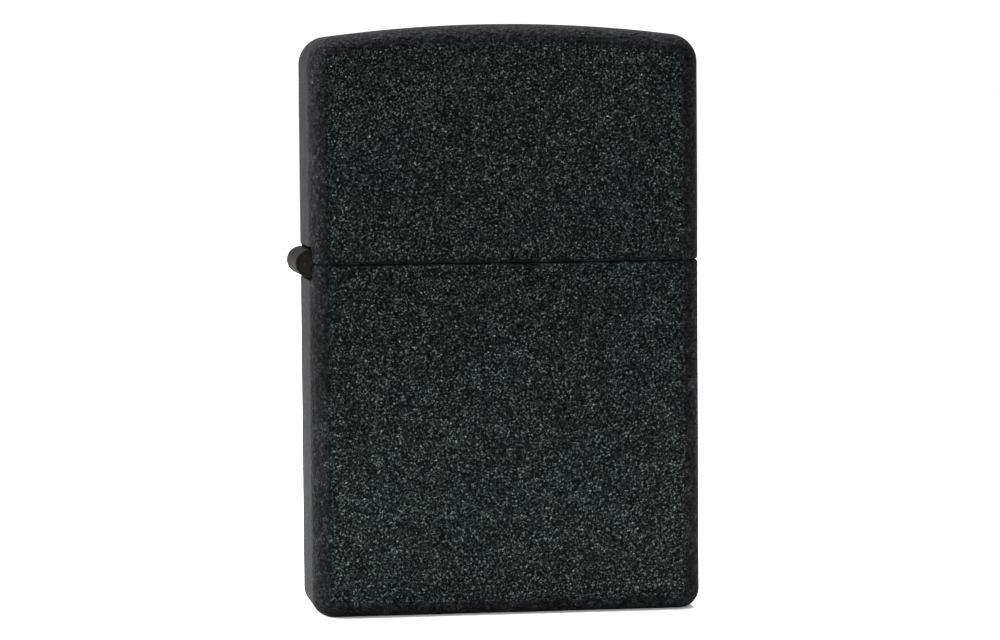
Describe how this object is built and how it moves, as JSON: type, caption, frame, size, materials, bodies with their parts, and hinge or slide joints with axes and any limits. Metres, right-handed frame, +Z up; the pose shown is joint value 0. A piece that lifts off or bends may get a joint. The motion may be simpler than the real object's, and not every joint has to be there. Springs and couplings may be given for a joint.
{
  "type": "flip-top petrol lighter",
  "caption": "Closed windproof flip-top petrol pocket lighter with a black crackle case, hinged lid, chimney insert, cam, flint wheel, sprung flint, wick and packing.",
  "frame": {"origin": "middle of the footprint at the bottom, with the hinge barrel counted", "axes": "+Z up, +Y to the back (the front face looks along -Y), +X to the right, hinge at -X"},
  "size_m": [0.0394, 0.0126, 0.0571],
  "materials": {
    "black_crackle": "matte",
    "black_hinge": "satin",
    "brushed_steel": "satin",
    "dark_steel": "matte",
    "brass": "satin",
    "ferrocerium": "matte",
    "fibre": "matte",
    "felt": "matte"
  },
  "bodies": {
    "case": {"case_bottom": "black_crackle", "hinge_leaf_case": "black_hinge", "hinge_pin": "dark_steel", "fuel_chamber": "brushed_steel", "chimney": "brushed_steel", "cam_rivet": "brushed_steel", "cam_spring": "dark_steel", "cam_spring_rivet": "brushed_steel", "wheel_rivet": "brushed_steel", "flint_tube": "brass", "wick": "fibre", "rayon_ball_1": "fibre", "rayon_ball_2": "fibre", "rayon_ball_3": "fibre", "rayon_ball_4": "fibre", "rayon_ball_5": "fibre", "rayon_ball_6": "fibre", "felt_pad": "felt"},
    "lid_body": {"lid": "black_crackle", "hinge_leaf_lid": "black_hinge"},
    "cam_body": {"cam": "dark_steel"},
    "wheel_body": {"flint_wheel": "dark_steel"},
    "flint_body": {"flint": "ferrocerium", "spring_tip": "brass"},
    "screw_lift": {"flint_spring": "dark_steel"},
    "screw_body": {"flint_screw": "brass"}
  },
  "joints": [
    {"name": "lid_hinge", "type": "hinge", "parent": "case", "child": "lid_body", "pos_m": [-0.01835, 0, 0.03425], "axis": [0, -1, 0], "range_deg": [0, 115]},
    {"name": "cam_rock", "type": "hinge", "parent": "case", "child": "cam_body", "pos_m": [-0.01255, 0, 0.03875], "axis": [0, 1, 0], "range_deg": [0, 26]},
    {"name": "wheel_spin", "type": "hinge", "parent": "case", "child": "wheel_body", "pos_m": [0.01025, 0, 0.0452], "axis": [0, 1, 0], "continuous": true},
    {"name": "flint_press", "type": "slide", "parent": "case", "child": "flint_body", "axis": [0, 0, 1], "range_m": [-0.0015, 0], "stiffness_N_per_m": 150, "deforming": ["flint_spring"]},
    {"name": "screw_travel", "type": "slide", "parent": "case", "child": "screw_lift", "axis": [0, 0, -1], "range_m": [0, 0.001], "deforming": ["flint_spring"]},
    {"name": "screw_turn", "type": "hinge", "parent": "screw_lift", "child": "screw_body", "pos_m": [0.01005, 0, 0.005], "axis": [0, 0, -1], "range_deg": [0, 516]}
  ],
  "couplings": [
    {"joint": "cam_rock", "follows": "lid_hinge", "ratio": 0.226},
    {"joint": "screw_turn", "follows": "screw_travel", "rad_per_m": 8976}
  ]
}
